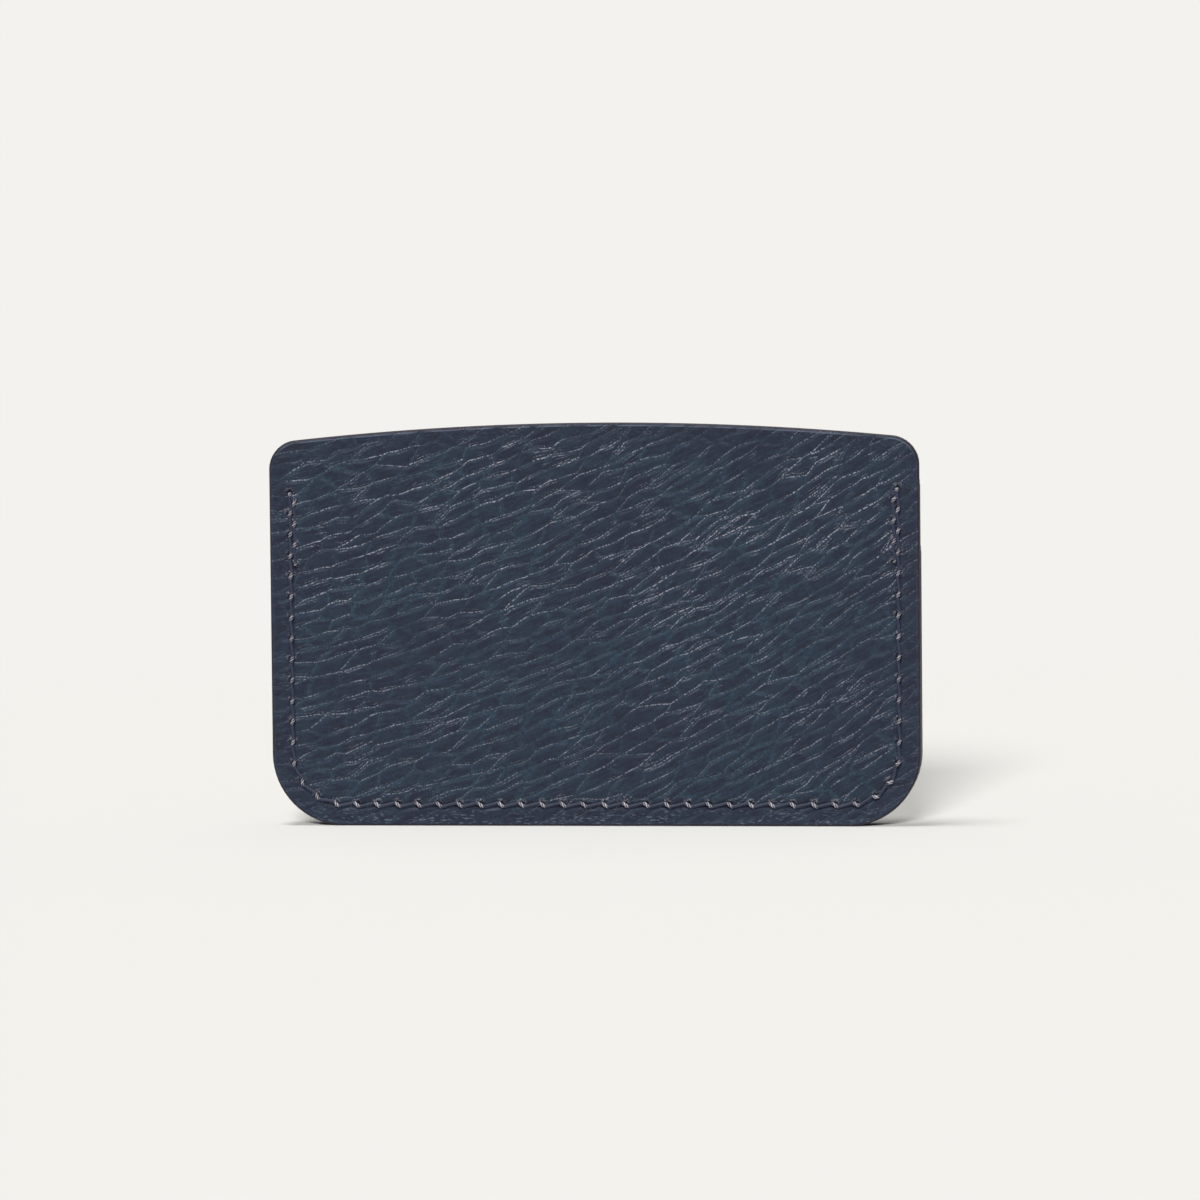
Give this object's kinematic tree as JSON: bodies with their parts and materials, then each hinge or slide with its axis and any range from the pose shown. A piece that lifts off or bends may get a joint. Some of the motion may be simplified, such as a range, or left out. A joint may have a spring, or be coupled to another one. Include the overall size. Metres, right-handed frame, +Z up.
{
  "type": "card holder",
  "caption": "Flat grained leather card holder with a crowned rear panel, two top-opening pockets and one U-shaped stitched seam.",
  "frame": {"origin": "middle of the lower edge that the holder stands on, half way through its thickness", "axes": "+X along the width, to the right when looking at the plain rear face; +Y through the thickness from the plain rear face to the pocket side; +Z up towards the pocket mouths"},
  "size_m": [0.102, 0.006, 0.063],
  "materials": {
    "grained_leather": "grained navy leather, satin, with painted edges",
    "pocket_leather": "grained navy leather, satin, with painted edges",
    "lining_leather": "thin smooth navy lining, matt",
    "welt_leather": "dyed navy leather strip with painted outer edge",
    "seam_thread": "twisted navy polyester thread"
  },
  "bodies": {
    "root": {"rear_panel": "grained_leather", "centre_panel": "pocket_leather", "front_panel": "pocket_leather", "rear_lining": "lining_leather", "centre_lining": "lining_leather", "front_lining": "lining_leather", "centre_welt": "welt_leather", "front_welt": "welt_leather", "needle_thread": "seam_thread", "bobbin_thread": "seam_thread"}
  },
  "joints": []
}
